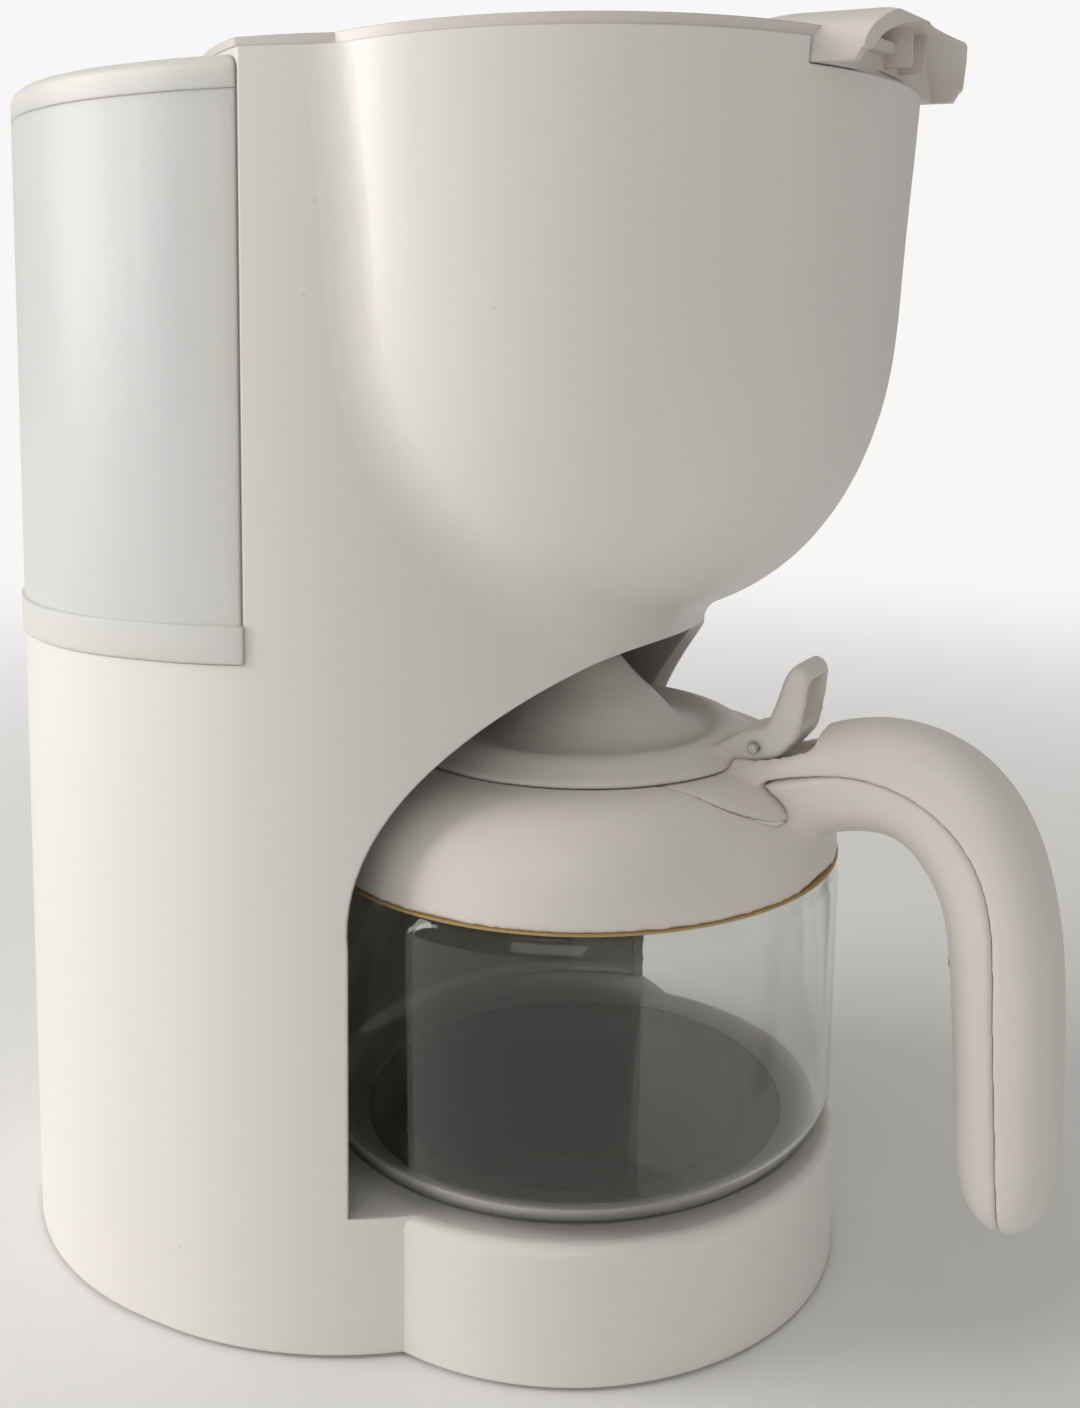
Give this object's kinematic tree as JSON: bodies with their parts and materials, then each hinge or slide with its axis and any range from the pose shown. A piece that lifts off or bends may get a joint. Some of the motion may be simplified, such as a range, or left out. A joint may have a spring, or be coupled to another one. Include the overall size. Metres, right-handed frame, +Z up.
{
  "type": "drip coffee maker",
  "caption": "Drip coffee maker: tower housing with bowl-shaped brew chamber, milky water reservoir, hinged lid, warming plate and glass jug with free-ended handle.",
  "frame": {"origin": "middle of the footprint's bounding box on the surface it stands on", "axes": "+Z up, -Y towards the jug's handle, +X to the right seen from the front"},
  "size_m": [0.1764, 0.282, 0.3066],
  "materials": {
    "shell_plastic": "smooth moulded plastic, soft gloss",
    "lid_plastic": "smooth moulded plastic, soft gloss",
    "jug_plastic": "smooth moulded plastic, satin",
    "liner_plastic": "fine matt moulded plastic",
    "base_plastic": "fine matt moulded plastic",
    "milky_plastic": "milky translucent plastic, slightly yellowed edges",
    "plate_coating": "dark non-stick coating, satin",
    "ring_seal": "dark heat-proof rubber, matt",
    "heater_alloy": "extruded",
    "zinc_steel": "zinc plated",
    "hose_rubber": "translucent silicone hose",
    "foot_rubber": "matt",
    "basket_plastic": "dark moulded plastic",
    "valve_plastic": "moulded plastic",
    "seal_rubber": "amber silicone",
    "spring_steel": "bright wire",
    "switch_plastic": "gloss",
    "lens_plastic": "clear orange-red",
    "terminal_plastic": "moulded plastic",
    "wire_cover": "flexible wire cover",
    "jug_glass": "clear heat-proof glass"
  },
  "bodies": {
    "housing": {"main_housing": "shell_plastic", "bay_liner": "liner_plastic", "base_cover": "base_plastic", "feet": "foot_rubber", "base_screws": "zinc_steel", "hotplate": "plate_coating", "hotplate_ring": "ring_seal", "heater": "heater_alloy", "heater_clamp": "zinc_steel", "thermostat": "zinc_steel", "thermal_fuses": "zinc_steel", "cold_hose_upper": "hose_rubber", "cold_hose_lower": "hose_rubber", "riser_hose": "hose_rubber", "check_valve": "valve_plastic", "hose_clips": "zinc_steel", "spray_arm": "valve_plastic", "tank_body": "milky_plastic", "tank_cap": "milky_plastic", "tank_flap_pin": "zinc_steel", "tank_seal": "seal_rubber", "lid_pin": "zinc_steel", "filter_basket": "basket_plastic", "drip_valve_spring": "spring_steel", "switch_bezel": "switch_plastic", "switch_body": "switch_plastic", "terminal_block": "terminal_plastic", "cord_gland": "base_plastic", "wires": "wire_cover"},
    "lid": {"top_lid": "lid_plastic"},
    "filling_flap": {"tank_flap": "milky_plastic"},
    "drip_stop": {"drip_valve": "valve_plastic", "drip_valve_seal": "seal_rubber"},
    "rocker": {"switch_rocker": "switch_plastic", "switch_lens": "lens_plastic"},
    "jug": {"jug_glass": "jug_glass", "jug_band": "seal_rubber", "jug_collar": "jug_plastic", "handle_cover": "jug_plastic", "jug_lid": "jug_plastic", "jug_lid_pin": "zinc_steel", "handle_screws": "zinc_steel"}
  },
  "joints": [
    {"name": "lid_hinge", "type": "hinge", "parent": "housing", "child": "lid", "pos_m": [0, 0.06927, 0.29552], "axis": [-1, 0, 0], "range_deg": [0, 95]},
    {"name": "flap_hinge", "type": "hinge", "parent": "housing", "child": "filling_flap", "pos_m": [0, 0.08637, 0.28941], "axis": [1, 0, 0], "range_deg": [0, 85]},
    {"name": "drip_stop_slide", "type": "slide", "parent": "housing", "child": "drip_stop", "axis": [0, 0, 1], "range_m": [0, 0.003], "stiffness_N_per_m": 250, "springref_m": -0.003, "deforming": ["drip_valve_spring"]},
    {"name": "rocker_hinge", "type": "hinge", "parent": "housing", "child": "rocker", "pos_m": [0.079, 0.06877, 0.062], "axis": [0, -1, 0], "range_deg": [0, 18]},
    {"name": "jug_slide", "type": "slide", "parent": "housing", "child": "jug", "axis": [0, -1, 0], "range_m": [0, 0.15]}
  ]
}
